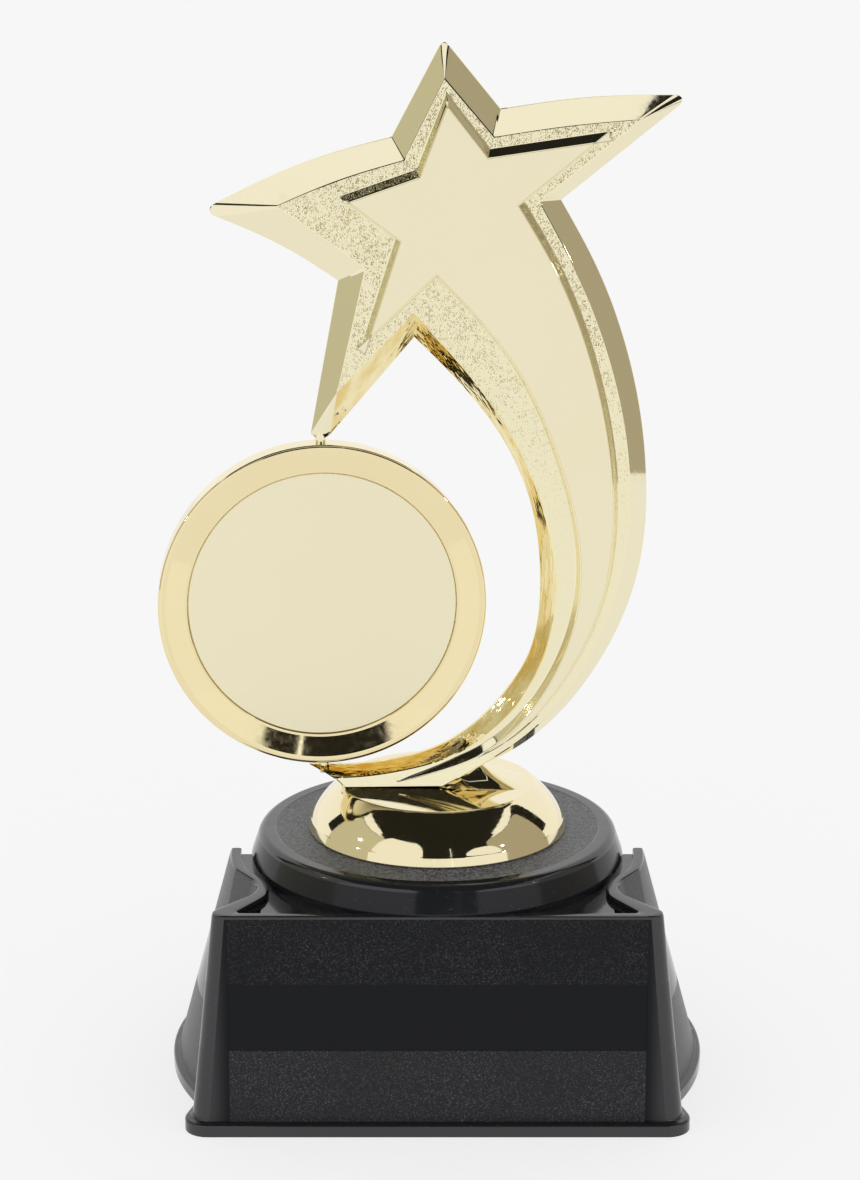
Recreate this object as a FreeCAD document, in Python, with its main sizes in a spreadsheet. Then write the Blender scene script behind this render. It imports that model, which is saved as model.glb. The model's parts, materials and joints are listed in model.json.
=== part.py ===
"""Spinner star trophy: a gold shooting star that carries a turning insert disc, on a black base.

Frame: +Z up, the figure looks along -Y, +X is to its right, and the origin is the middle of the
round base on the surface that it stands on. Millimetres.
"""
import FreeCAD, Part
import math
import os

from FreeCAD import Placement, Rotation, Vector

os.makedirs("parts", exist_ok=True)
doc = FreeCAD.newDocument("star_trophy")

# ------------------------------------------------------------------ driving dimensions
DIMENSIONS = {
    # black base
    "flange_height": 2.4,
    "rim_height": 42.2,
    "moat_floor_height": 40.9,
    "corner_well_depth": 12.0,
    "riser_top_height": 47.2,
    "riser_top_radius": 34.2,
    "riser_foot_radius": 36.3,
    "cone_foot_radius": 50.7,
    "flange_radius": 51.8,
    "base_wall": 2.2,
    "bolt_hole_radius": 2.6,
    "band_half_width": 39.2,
    "band_low_height": 16.3,
    "band_high_height": 29.1,
    "band_recess": 0.1,
    # filling of the base
    "felt_thickness": 0.8,
    "board_thickness": 2.0,
    "floor_clearance": 1.0,
    "weight_thickness": 15.0,
    "weight_radius": 33.5,
    "weight_well_radius": 9.0,
    # gold figure
    "foot_radius": 24.9,
    "foot_top_radius": 20.3,
    "foot_height": 8.8,
    "foot_band_height": 1.6,
    "edge_half": 0.6,
    "face_depth": 3.4,
    "panel_depth": 5.0,
    "panel_draft": 0.9,
    "core_depth": 2.2,
    "peg_radius": 1.1,
    "peg_length": 1.8,
    # pivots of the disc
    "pivot_offset": 21.8,
    "pin_radius": 1.0,
    "pin_grip": 4.0,
    "socket_clearance": 0.08,
    "boss_radius": 1.6,
    "tail_boss_low": 56.4,
    "tail_top": 59.4,
    "tail_socket_low": 57.4,
    "star_tip_low": 123.05,
    "star_boss_high": 128.5,
    "star_socket_high": 126.8,
    "pin_end_play": 0.4,
    # turning disc
    "disc_height": 91.4,
    "disc_radius": 31.0,
    "disc_half": 3.0,
    "disc_edge": 0.7,
    "rim_inner_radius": 30.0,
    "lip_radius": 26.0,
    "lip_depth": 1.3,
    "insert_radius": 25.4,
    "insert_thickness": 0.6,
    "insert_floor": 0.9,
    "rest_turn": 5.9,
    # fastening
    "bolt_radius": 2.4,
    "bolt_length": 10.0,
    "bolt_head_radius": 4.6,
    "bolt_head_height": 3.0,
    "washer_radius": 8.0,
    "washer_thickness": 1.2,
    "nut_across_flats": 8.0,
    "nut_thickness": 4.0,
}

sheet = doc.addObject("Spreadsheet::Sheet", "Dimensions")
for row, (alias, number) in enumerate(DIMENSIONS.items(), start=1):
    sheet.set("A%d" % row, alias)
    sheet.set("B%d" % row, str(number))
    sheet.setAlias("B%d" % row, alias)
doc.recompute()


def size(alias):
    """Number held by one cell of the sheet."""
    return float(sheet.get(alias))


# ------------------------------------------------------------------ drawing helpers
def vec(point, height=0.0):
    return Vector(point[0], point[1], height)


def rounded_path(corners):
    """Lines and arcs along corners (x, y, radius); the first and last corner stay sharp."""
    edges = []
    start = vec(corners[0])
    for before, here, after in zip(corners, corners[1:], corners[2:]):
        corner = vec(here)
        back = (vec(before) - corner).normalize()
        ahead = (vec(after) - corner).normalize()
        if here[2] == 0:
            edges.append(Part.LineSegment(start, corner))
            start = corner
            continue
        half = back.getAngle(ahead) / 2
        reach = here[2] / math.tan(half)
        bisector = (back + ahead).normalize()
        middle = corner + bisector * (here[2] / math.sin(half) - here[2])
        entry, leave = corner + back * reach, corner + ahead * reach
        edges.append(Part.LineSegment(start, entry))
        edges.append(Part.Arc(entry, middle, leave))
        start = leave
    edges.append(Part.LineSegment(start, vec(corners[-1])))
    return edges


def mirrored(edges):
    """The same edges on the other side of the YZ plane, in reverse order."""
    out = []
    for edge in reversed(edges):
        ends = [Vector(-p.x, p.y, 0) for p in (edge.EndPoint, edge.StartPoint)]
        if isinstance(edge, Part.LineSegment):
            out.append(Part.LineSegment(*ends))
        else:
            inner = edge.value((edge.FirstParameter + edge.LastParameter) / 2)
            out.append(Part.Arc(ends[0], Vector(-inner.x, inner.y, 0), ends[1]))
    return out


def origin_plane(body, role):
    return next(item for item in body.Origin.OriginFeatures if item.Role == role)


def add_body(name):
    body = doc.addObject("PartDesign::Body", name)
    body.Label = name
    return body


def add_sketch(body, name, geometry, role="XY_Plane", offset=None):
    """Sketch on an origin plane of the body, moved along its normal by an expression."""
    sketch = body.newObject("Sketcher::SketchObject", name)
    sketch.AttachmentSupport = (origin_plane(body, role), [""])
    sketch.MapMode = "FlatFace"
    if offset is not None:
        sketch.setExpression("AttachmentOffset.Base.z", offset)
    sketch.addGeometry(geometry, False)
    return sketch


def add_pad(body, name, sketch, length, reverse=False):
    pad = body.newObject("PartDesign::Pad", name)
    pad.Profile = sketch
    pad.setExpression("Length", length)
    pad.Reversed = reverse
    doc.recompute()
    return pad


def add_loft(body, name, first, second, kind="PartDesign::AdditiveLoft"):
    loft = body.newObject(kind, name)
    loft.Profile = first
    loft.Sections = [second]
    loft.Ruled = True
    doc.recompute()
    return loft


def cut_checked(body, feature):
    """A cut has to take something away from the body."""
    before = feature.BaseFeature.Shape.Volume
    doc.recompute()
    if not feature.Shape.Volume < before - 1e-3:
        raise RuntimeError("%s removes nothing" % feature.Label)
    return feature


def add_pocket(body, name, sketch, length, reverse=False):
    pocket = body.newObject("PartDesign::Pocket", name)
    pocket.Profile = sketch
    pocket.setExpression("Length", length)
    pocket.Reversed = reverse
    return cut_checked(body, pocket)


def closed_polygon(points):
    corners = [vec(p) for p in points]
    return [Part.LineSegment(a, b) for a, b in zip(corners, corners[1:] + corners[:1])]


def add_turned(body, name, profile, kind="PartDesign::Revolution", angle=360):
    """Profile of (radius, height) corners turned about the body's Z axis; 180 makes the rear half."""
    sketch = add_sketch(body, name + "_profile", closed_polygon(profile), "XZ_Plane")
    turned = body.newObject(kind, name)
    turned.Profile = sketch
    turned.ReferenceAxis = (sketch, ["V_Axis"])
    turned.Angle = angle
    doc.recompute()
    return turned


def circle(radius, centre=(0, 0)):
    return Part.Circle(vec(centre), Vector(0, 0, 1), radius)


# ------------------------------------------------------------------ black base
# Half outline of the front shield: front corner, flute bottom and wing end, at the bottom and the
# top of the moulding. The wing lies on the round cone of the base.
BOTTOM_OUTLINE = {"front": 37.4, "corner": 46.6, "flute": (43.4, 26.8), "wing_y": 21.8, "radii": (3.4, 4.0)}
TOP_OUTLINE = {"front": 36.0, "corner": 44.9, "flute": (31.6, 23.6), "wing_y": 11.5, "radii": (3.4, 4.8)}
CONE_TOP_RADIUS = 39.9


def shield_half(outline, wing_radius, inset=0.0):
    """Left half of the shield, from the middle of its front to its back edge on the X axis."""
    front = outline["front"] - inset
    flute = (-outline["flute"][0] + inset, -outline["flute"][1] - inset * 0.3)
    wing_radius -= inset
    wing_y = outline["wing_y"] - inset * 0.3
    wing_start = (-math.sqrt(wing_radius ** 2 - wing_y ** 2), -wing_y)
    corner_x = outline["corner"] - inset * (outline["corner"] - outline["flute"][0]) / 5.0 - inset
    corner_radius = max(outline["radii"][0] - inset, 0.8)
    edges = rounded_path([
        (0, -front, 0),
        (-corner_x, -front, corner_radius),
        (flute[0], flute[1], outline["radii"][1] + inset),
        (wing_start[0], wing_start[1], 0),
    ])
    wing_end = Vector(-wing_radius, 0, 0)
    turn = (math.atan2(-wing_y, wing_start[0]) - math.pi) / 2
    wing_middle = Vector(wing_radius * math.cos(turn), wing_radius * math.sin(turn), 0)
    edges.append(Part.Arc(vec(wing_start), wing_middle, wing_end))
    return edges


def shield_outline(outline, wing_radius, inset=0.0):
    left = shield_half(outline, wing_radius, inset)
    right = mirrored(left)
    chord = Part.LineSegment(left[-1].EndPoint, right[0].StartPoint)
    return left + [chord] + right


def flange_outline():
    """The foot flange follows the shield in front and is round at the sides and the back."""
    grown = {"front": 38.9, "corner": 48.1, "flute": (44.8, 26.6), "wing_y": 22.6, "radii": (4.4, 3.0)}
    left = shield_half(grown, size("flange_radius"))
    wing_end = left[-1].EndPoint
    right = mirrored(left)
    rear = Part.Arc(wing_end, Vector(0, size("flange_radius"), 0), right[0].StartPoint)
    return left + [rear] + right


def cone_radius(height):
    """Outer radius of the round base cone at a height."""
    share = (height - size("flange_height")) / (size("rim_height") - size("flange_height"))
    return size("cone_foot_radius") + share * (CONE_TOP_RADIUS - size("cone_foot_radius"))


def bell_profile(inset, foot_z):
    """Rear bell: a cone, a hollow cove and the drum of the riser, as (radius, height) corners."""
    cove_low, cove_high, steps = 21.0, 39.2, 6
    low_radius, high_radius = cone_radius(cove_low), size("riser_foot_radius") + 0.4
    corners = [(0, foot_z), (cone_radius(foot_z) - inset, foot_z), (low_radius - inset, cove_low)]
    for step in range(1, steps + 1):
        turn = math.pi / 2 * step / steps
        radius = high_radius + (low_radius - high_radius) * (1 - math.sin(turn))
        height = cove_low + (cove_high - cove_low) * (1 - math.cos(turn))
        corners.append((radius - inset, height - inset * (1 - math.cos(turn))))
    corners.append((0, cove_high - inset))
    return corners


def between_outlines(height):
    """Shield outline at a height between its bottom and its top."""
    share = (height - size("flange_height")) / (size("rim_height") - size("flange_height"))

    def blend(low, high):
        return low + share * (high - low)

    outline = {key: blend(BOTTOM_OUTLINE[key], TOP_OUTLINE[key]) for key in ("front", "corner", "wing_y")}
    for key in ("flute", "radii"):
        outline[key] = tuple(blend(*pair) for pair in zip(BOTTOM_OUTLINE[key], TOP_OUTLINE[key]))
    return outline


def add_plate_band(body):
    """Flat seat for a name plate, sunk a little into the sloping front of the shield."""
    rise = size("rim_height") - size("flange_height")
    lean = BOTTOM_OUTLINE["front"] - TOP_OUTLINE["front"]
    middle = (size("band_low_height") + size("band_high_height")) / 2
    front = BOTTOM_OUTLINE["front"] - lean * (middle - size("flange_height")) / rise
    half_width, half_height = size("band_half_width"), (size("band_high_height") - size("band_low_height")) / 2
    frame = [(-half_width, -half_height), (half_width, -half_height), (half_width, half_height),
             (-half_width, half_height)]
    seat = add_sketch(body, "plate_band_outline", closed_polygon(frame), "XZ_Plane")
    tilt = Rotation(Vector(1, 0, 0), -math.degrees(math.atan2(lean, rise)))
    seat.AttachmentOffset = Placement(Vector(0, middle, front - size("band_recess")), tilt)
    add_pocket(body, "plate_band", seat, "Dimensions.band_recess * 4", reverse=True)


def build_base_shell():
    body = add_body("base_shell")
    add_pad(body, "foot_flange", add_sketch(body, "flange_outline", flange_outline()),
            "Dimensions.flange_height")
    low = add_sketch(body, "shield_low", shield_outline(BOTTOM_OUTLINE, size("cone_foot_radius")),
                     offset="Dimensions.flange_height")
    high = add_sketch(body, "shield_high", shield_outline(TOP_OUTLINE, CONE_TOP_RADIUS),
                      offset="Dimensions.rim_height")
    add_loft(body, "front_shield", low, high)
    foot_z = size("flange_height")
    add_turned(body, "rear_bell", bell_profile(0.0, foot_z), angle=180)

    add_plate_band(body)

    rim_wall = 2.0
    moat = add_sketch(body, "moat_outline", shield_outline(TOP_OUTLINE, CONE_TOP_RADIUS, rim_wall),
                      offset="Dimensions.rim_height")
    add_pocket(body, "moat", moat, "Dimensions.rim_height - Dimensions.moat_floor_height")

    well_edge, well_tip, well_back = 31.0, 39.4, -26.6
    well_front = -(TOP_OUTLINE["front"] - size("base_wall"))
    wells = []
    for side in (-1, 1):
        path = rounded_path([
            (side * well_edge, well_front, 0),
            (side * well_tip, well_front, 1.0),
            (side * well_edge, well_back, 0),
        ])
        wells += path + [Part.LineSegment(path[-1].EndPoint, path[0].StartPoint)]
    well_sketch = add_sketch(body, "corner_wells", wells, offset="Dimensions.rim_height")
    add_pocket(body, "corner_well_cut", well_sketch, "Dimensions.corner_well_depth")

    top_z, top_radius, round_over = size("riser_top_height"), size("riser_top_radius"), 0.7
    riser_low = size("moat_floor_height") - 2.0
    add_turned(body, "riser", [
        (0, riser_low),
        (size("riser_foot_radius"), riser_low),
        (size("riser_foot_radius"), size("moat_floor_height")),
        (top_radius + 0.15, top_z - round_over),
        (top_radius - round_over, top_z),
        (0, top_z),
    ])

    wall = size("base_wall")
    hollow_top = 18.0
    low = add_sketch(body, "front_hollow_low",
                     shield_outline(BOTTOM_OUTLINE, size("cone_foot_radius"), wall))
    high = add_sketch(body, "front_hollow_high",
                      shield_outline(between_outlines(hollow_top), cone_radius(hollow_top), wall))
    high.AttachmentOffset = Placement(Vector(0, 0, hollow_top), Rotation())
    cut_checked(body, add_loft(body, "front_hollow", low, high, "PartDesign::SubtractiveLoft"))

    core_back = -(wall + 0.2)
    right_side = [(29.0, -33.4), (29.5, -22.0), (35.0, -9.0), (35.5, core_back)]
    core_outline = right_side + [(-x, y) for x, y in reversed(right_side)]
    core = add_sketch(body, "shield_core", closed_polygon(core_outline))
    core.AttachmentOffset = Placement(Vector(0, 0, hollow_top - 1), Rotation())
    add_pocket(body, "shield_core_cut", core, "Dimensions.moat_floor_height - %g - %g" % (
        hollow_top - 1, wall + 0.6), reverse=True)

    rear_hollow = bell_profile(wall, foot_z)
    rear_hollow[0] = (0, 0)
    rear_hollow[1] = (rear_hollow[1][0], 0)
    cut_checked(body, add_turned(body, "rear_hollow", rear_hollow, "PartDesign::Groove", 180))

    drum_radius = 32.0
    cut_checked(body, add_turned(body, "riser_hollow", [
        (0, hollow_top - 1),
        (drum_radius, hollow_top - 1),
        (drum_radius, top_z - wall - 1),
        (drum_radius - 1, top_z - wall),
        (0, top_z - wall),
    ], "PartDesign::Groove"))

    hole = add_sketch(body, "bolt_hole", [circle(size("bolt_hole_radius"))],
                      offset="Dimensions.riser_top_height")
    add_pocket(body, "bolt_hole_cut", hole, "Dimensions.base_wall * 2")
    return body


def floor_outline():
    """Opening under the base, a little smaller all round."""
    inset = size("base_wall") + size("floor_clearance")
    left = shield_half(BOTTOM_OUTLINE, size("cone_foot_radius"), inset)
    right = mirrored(left)
    rear = Part.Arc(left[-1].EndPoint, Vector(0, size("cone_foot_radius") - inset, 0), right[0].StartPoint)
    return left + [rear] + right


def build_base_filling():
    felt = add_body("base_felt")
    add_pad(felt, "felt_sheet", add_sketch(felt, "felt_outline", floor_outline()),
            "Dimensions.felt_thickness")
    board = add_body("base_board")
    add_pad(board, "board_sheet", add_sketch(board, "board_outline", floor_outline(),
                                             offset="Dimensions.felt_thickness"),
            "Dimensions.board_thickness")
    weight = add_body("base_weight")
    low = size("felt_thickness") + size("board_thickness")
    high = low + size("weight_thickness")
    inner, outer, edge = size("weight_well_radius"), size("weight_radius"), 1.5
    add_turned(weight, "weight_ring", [
        (inner, low), (outer, low), (outer, high - edge), (outer - edge, high), (inner, high)])
    return [felt, board, weight]


# ------------------------------------------------------------------ gold figure
# Outlines of the shooting star in the XZ plane, clockwise from the top point. "line" runs straight
# to the next corner; the curved stretches pass through the points given.
RIM = [
    ("curve", [(0.3, 195.0), (1.2, 195.6), (2.1, 195.0)]),
    ("line", [(2.1, 195.0), (11.4, 183.8)]),
    ("curve", [(11.4, 183.8), (27.4, 185.9), (43.2, 186.3)]),
    ("curve", [(43.2, 186.3), (44.1, 185.6), (43.8, 184.5)]),
    ("line", [(43.8, 184.5), (22.5, 167.4)]),
    ("curve", [(22.5, 167.4), (28.7, 156.2), (36.2, 135.4), (39.1, 114.0), (37.9, 98.2),
               (29.5, 77.9), (16.5, 63.7), (1.0, 56.2)]),
    ("line", [(1.0, 56.2), (-18.2, 56.0)]),
    ("line", [(-18.2, 56.0), (-24.6, 59.5)]),
    ("curve", [(-24.6, 59.5), (-15.4, 59.4), (-7.2, 60.7), (0.9, 63.4), (12.0, 72.9), (17.2, 81.1),
               (19.4, 95.0), (17.4, 111.1), (10.0, 126.4), (-4.3, 142.2)]),
    ("line", [(-4.3, 142.2), (-20.1, 123.8)]),
    ("curve", [(-20.1, 123.8), (-21.8, 123.0), (-23.6, 124.2)]),
    ("line", [(-23.6, 124.2), (-18.3, 152.7)]),
    ("curve", [(-18.3, 152.7), (-27.5, 158.5), (-41.0, 164.6)]),
    ("curve", [(-41.0, 164.6), (-41.6, 165.7), (-41.0, 166.6)]),
    ("curve", [(-41.0, 166.6), (-23.5, 174.5), (-8.4, 178.8)]),
    ("line", [(-8.4, 178.8), (0.3, 195.0)]),
]
FACE = [
    ("line", [(1.2, 189.3), (1.3, 189.3)]),
    ("line", [(1.3, 189.3), (10.2, 179.0)]),
    ("curve", [(10.2, 179.0), (23.0, 180.9), (36.7, 182.2)]),
    ("line", [(36.7, 182.2), (36.7, 182.1)]),
    ("line", [(36.7, 182.1), (18.5, 167.4)]),
    ("curve", [(18.5, 167.4), (23.8, 157.7), (31.5, 138.9), (35.9, 116.0), (35.0, 99.6),
               (28.1, 79.8), (15.8, 65.2), (1.0, 57.2)]),
    ("line", [(1.0, 57.2), (-17.2, 56.6)]),
    ("line", [(-17.2, 56.6), (-19.6, 58.0)]),
    ("curve", [(-19.6, 58.0), (-14.0, 58.3), (-7.2, 59.3), (2.8, 62.2), (14.6, 71.6), (20.1, 82.0),
               (22.3, 95.0), (18.5, 113.6), (12.0, 127.0), (-4.3, 146.9)]),
    ("line", [(-4.3, 146.9), (-18.5, 132.2)]),
    ("line", [(-18.5, 132.2), (-18.6, 132.3)]),
    ("line", [(-18.6, 132.3), (-13.2, 155.2)]),
    ("curve", [(-13.2, 155.2), (-20.6, 160.6), (-29.2, 166.5)]),
    ("line", [(-29.2, 166.5), (-29.2, 166.6)]),
    ("curve", [(-29.2, 166.6), (-17.5, 171.4), (-6.0, 174.9)]),
    ("line", [(-6.0, 174.9), (1.2, 189.3)]),
]
# The raised panel has sharp corners, so it needs fewer stretches.
PANEL = [
    ("line", [(1.5, 186.8), (9.4, 176.8)]),
    ("line", [(9.4, 176.8), (31.5, 180.0)]),
    ("line", [(31.5, 180.0), (15.7, 167.2)]),
    ("curve", [(15.7, 167.2), (21.9, 156.6), (29.8, 136.0), (33.6, 112.0), (32.5, 96.9),
               (25.6, 79.2), (12.0, 64.2), (-8.0, 57.2)]),
    ("curve", [(-8.0, 57.2), (11.9, 67.0), (20.6, 78.0), (25.9, 96.0), (21.8, 120.0),
               (12.7, 138.9), (-0.2, 153.6)]),
    ("line", [(-0.2, 153.6), (-14.3, 140.3)]),
    ("line", [(-14.3, 140.3), (-7.7, 160.6)]),
    ("line", [(-7.7, 160.6), (-18.0, 168.2)]),
    ("line", [(-18.0, 168.2), (-3.9, 173.1)]),
    ("line", [(-3.9, 173.1), (1.5, 186.8)]),
]


PANEL_CROWN_TIP = (4.6, 61.4)


def outline_edges(outline):
    edges = []
    for kind, points in outline:
        corners = [vec(p) for p in points]
        if kind == "line":
            edges.append(Part.LineSegment(corners[0], corners[1]))
        elif len(corners) == 3:
            edges.append(Part.Arc(*corners))
        else:
            spline = Part.BSplineCurve()
            spline.interpolate(corners)
            edges.append(spline)
    return edges


def inset_outline(outline, distance):
    """The outline moved inwards by one distance all round; it runs clockwise."""
    def inward(a, b):
        along = (vec(b) - vec(a)).normalize()
        return Vector(along.y, -along.x, 0)

    joints = []
    for index, (kind, points) in enumerate(outline):
        before = outline[index - 1][1]
        first, second = inward(before[-2], before[-1]), inward(points[0], points[1])
        shift = (first + second) * (distance / (1 + first.dot(second)))
        joints.append(vec(points[0]) + shift)
    moved = []
    for index, (kind, points) in enumerate(outline):
        inner = []
        for a, here, b in zip(points, points[1:], points[2:]):
            inner.append(vec(here) + inward(a, b) * distance)
        ends = [joints[index]] + inner + [joints[(index + 1) % len(joints)]]
        moved.append((kind, [(p.x, p.y) for p in ends]))
    return moved


def panel_crown():
    """Top edge of the raised panel; its tail runs out to a point that the draft moves up."""
    crown = inset_outline(PANEL, size("panel_draft"))
    lower, upper = crown[3][1], crown[4][1]
    lower[-1] = upper[0] = PANEL_CROWN_TIP
    return crown


# Cores that make the two halves hollow, well inside the outline.
STAR_CORE = [(1.3, 181.0), (7.0, 173.0), (24.0, 175.5), (12.0, 166.5), (7.0, 158.0), (-3.0, 157.0),
             (-10.5, 148.0), (-4.5, 162.5), (-14.0, 168.5), (-2.5, 171.0)]
TAIL_CORE = [
    ("curve", [(14.0, 160.0), (25.6, 136.0), (30.0, 112.0), (28.6, 97.0), (21.0, 80.0), (13.0, 70.5)]),
    ("line", [(13.0, 70.5), (16.0, 69.0)]),
    ("curve", [(16.0, 69.0), (25.0, 79.0), (31.8, 97.0), (33.0, 112.0), (29.0, 134.0), (18.0, 160.0)]),
    ("line", [(18.0, 160.0), (14.0, 160.0)]),
]
LOCATING_PEGS = [(1.4, 184.2), (30.0, 178.0), (-20.0, 167.4), (-15.8, 141.5), (36.1, 112.0), (11.6, 67.6)]


def half_disc(radius, side):
    """Half circle about the pivot axis, on the front (side 1) or the rear (side -1) of Y = 0."""
    centre = -size("pivot_offset")
    left, right = Vector(centre - radius, 0, 0), Vector(centre + radius, 0, 0)
    return [Part.Arc(left, Vector(centre, -side * radius, 0), right), Part.LineSegment(right, left)]


def build_figure_half(name, side):
    """One moulded half of the star and its tail. side is 1 for the front and -1 for the rear."""
    body = add_body(name)
    sign = "" if side > 0 else "-"

    def figure_sketch(title, geometry, depth=None):
        offset = None if depth is None else sign + "Dimensions." + depth
        return add_sketch(body, title, geometry, "XZ_Plane", offset)

    add_pad(body, "edge_band", figure_sketch("rim_flat", outline_edges(RIM)),
            "Dimensions.edge_half", reverse=side < 0)
    add_loft(body, "bevel", figure_sketch("rim", outline_edges(RIM), "edge_half"),
             figure_sketch("face", outline_edges(FACE), "face_depth"))
    add_loft(body, "raised_panel", figure_sketch("ledge", outline_edges(PANEL), "face_depth"),
             figure_sketch("crown", outline_edges(panel_crown()), "panel_depth"))
    cores = closed_polygon(STAR_CORE) + outline_edges(TAIL_CORE)
    add_pocket(body, "core_cut", figure_sketch("cores", cores), "Dimensions.core_depth",
               reverse=side > 0)

    boss = half_disc(size("boss_radius"), side)
    for end, low, high in (("tail", "tail_boss_low", "tail_top"), ("star", "star_tip_low", "star_boss_high")):
        sketch = add_sketch(body, end + "_boss_outline", boss, offset="Dimensions." + low)
        add_pad(body, end + "_boss", sketch, "Dimensions.%s - Dimensions.%s" % (high, low))
    socket = half_disc(size("pin_radius") + size("socket_clearance"), side)
    mouth = 1.0
    for end, low, high in (("tail", "Dimensions.tail_socket_low", "Dimensions.tail_top + %g" % mouth),
                           ("star", "Dimensions.star_tip_low - %g" % mouth, "Dimensions.star_socket_high")):
        sketch = add_sketch(body, end + "_socket_outline", socket, offset=high)
        add_pocket(body, end + "_socket", sketch, "%s - (%s)" % (high, low))

    hole_play = 0.0 if side > 0 else 0.1
    circles = [circle(size("peg_radius") + hole_play, spot) for spot in LOCATING_PEGS]
    pegs = figure_sketch("peg_circles", circles)
    if side > 0:
        add_pad(body, "pegs", pegs, "Dimensions.peg_length", reverse=True)
    else:
        add_pocket(body, "peg_holes", pegs, "Dimensions.peg_length + %g" % (2 * hole_play))
    return body


def build_figure_foot(figure_halves):
    """Round gold foot with a flared stem that the tail is set into."""
    body = add_body("figure_foot_blank")
    low = size("riser_top_height")
    high = low + size("foot_height")
    band = low + size("foot_band_height")
    radius, top_radius = size("foot_radius"), size("foot_top_radius")
    add_turned(body, "foot_turning", [
        (0, low), (radius, low), (radius - 0.1, band - 0.4), (radius - 0.6, band),
        (top_radius + 0.15, high - 0.35), (top_radius - 0.3, high), (0, high)])
    foot_wall, boss_radius = 2.2, 7.0
    cut_checked(body, add_turned(body, "foot_hollow", [
        (boss_radius, low), (radius - foot_wall - 0.4, low), (top_radius - foot_wall, high - foot_wall),
        (boss_radius, high - foot_wall)], "PartDesign::Groove"))

    stem_low = [(0.5, -5.5), (9.0, -16.0), (13.2, -9.5), (13.2, 8.0), (0.5, 5.5)]
    stem_high = [(3.0, -2.4), (6.0, -3.2), (9.5, -3.0), (9.5, 3.0), (3.0, 2.4)]
    foot_sketch = add_sketch(body, "stem_foot", closed_polygon(stem_low),
                             offset="Dimensions.riser_top_height + Dimensions.foot_height - 0.2")
    head_sketch = add_sketch(body, "stem_head", closed_polygon(stem_high),
                             offset="Dimensions.riser_top_height + Dimensions.foot_height + 5.5")
    add_loft(body, "stem", foot_sketch, head_sketch)

    flats = size("nut_across_flats") + 0.1
    corner = flats / math.sqrt(3)
    hexagon = [(corner * math.cos(math.radians(60 * k)), corner * math.sin(math.radians(60 * k)))
               for k in range(6)]
    nut_seat = add_sketch(body, "nut_seat", closed_polygon(hexagon), offset="Dimensions.riser_top_height")
    add_pocket(body, "nut_pocket", nut_seat, "Dimensions.nut_thickness + 0.2", reverse=True)
    bore = add_sketch(body, "bolt_bore", [circle(size("bolt_hole_radius"))],
                      offset="Dimensions.riser_top_height")
    add_pocket(body, "bolt_bore_cut", bore, "Dimensions.bolt_length - Dimensions.base_wall", reverse=True)

    both_halves = doc.addObject("Part::MultiFuse", "figure_halves")
    both_halves.Shapes = figure_halves
    foot = doc.addObject("Part::Cut", "figure_foot")
    foot.Base, foot.Tool = body, both_halves
    foot.Label = "figure_foot"
    doc.recompute()
    return foot


# ------------------------------------------------------------------ turning disc
def place_on_disc(body):
    """Disc pieces are drawn flat about their own Z axis and stood up facing the front."""
    body.setExpression("Placement.Base.x", "-Dimensions.pivot_offset")
    body.setExpression("Placement.Base.z", "Dimensions.disc_height")
    body.Placement.Rotation = Rotation(Vector(0, 0, 1), size("rest_turn")) * Rotation(Vector(1, 0, 0), 90)


def disc_half_profile(side):
    half, radius, edge = size("disc_half"), size("disc_radius"), size("disc_edge")
    floor, lip = size("insert_floor"), half - size("lip_depth")
    recess = size("insert_radius") + 0.1
    corners = [
        (0, 0), (radius, 0), (radius, half - edge), (radius - edge, half),
        (size("rim_inner_radius"), half), (size("lip_radius"), lip), (recess, lip),
        (recess, floor), (0, floor)]
    return [(r, side * z) for r, z in corners]


def build_disc():
    pieces = []
    for name, side in (("disc_front_half", 1), ("disc_rear_half", -1)):
        body = add_body(name)
        add_turned(body, "dished_ring", disc_half_profile(side))
        reach = size("disc_radius") + 1.0
        for end, towards in (("upper", -1), ("lower", 1)):
            sketch = add_sketch(body, end + "_pin_end", [circle(size("pin_radius"))], "XZ_Plane",
                                "%d * %g" % (towards, reach))
            add_pocket(body, end + "_pin_seat", sketch, "Dimensions.pin_grip + 1", reverse=towards < 0)
        place_on_disc(body)
        pieces.append(body)
    for name, side in (("front_insert", 1), ("rear_insert", -1)):
        body = add_body(name)
        low, high = size("insert_floor"), size("insert_floor") + size("insert_thickness")
        radius = size("insert_radius")
        corners = [(0, low), (radius, low), (radius, high - 0.15), (radius - 0.15, high), (0, high)]
        add_turned(body, "plate", [(r, side * z) for r, z in corners])
        place_on_disc(body)
        pieces.append(body)
    return pieces


def build_pivot_pins():
    """Plain pins held in the disc; their free ends turn in the sockets of the figure."""
    disc_top = size("disc_height") + size("disc_radius")
    disc_low = size("disc_height") - size("disc_radius")
    spans = {
        "upper_pivot_pin": (disc_top - size("pin_grip"), size("star_socket_high") - size("pin_end_play")),
        "lower_pivot_pin": (size("tail_socket_low") + size("pin_end_play"), disc_low + size("pin_grip")),
    }
    pins = []
    for name, (low, high) in spans.items():
        body = add_body(name)
        radius, chamfer = size("pin_radius"), 0.25
        add_turned(body, "pin", [
            (0, low), (radius - chamfer, low), (radius, low + chamfer), (radius, high - chamfer),
            (radius - chamfer, high), (0, high)])
        body.setExpression("Placement.Base.x", "-Dimensions.pivot_offset")
        pins.append(body)
    return pins


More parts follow.
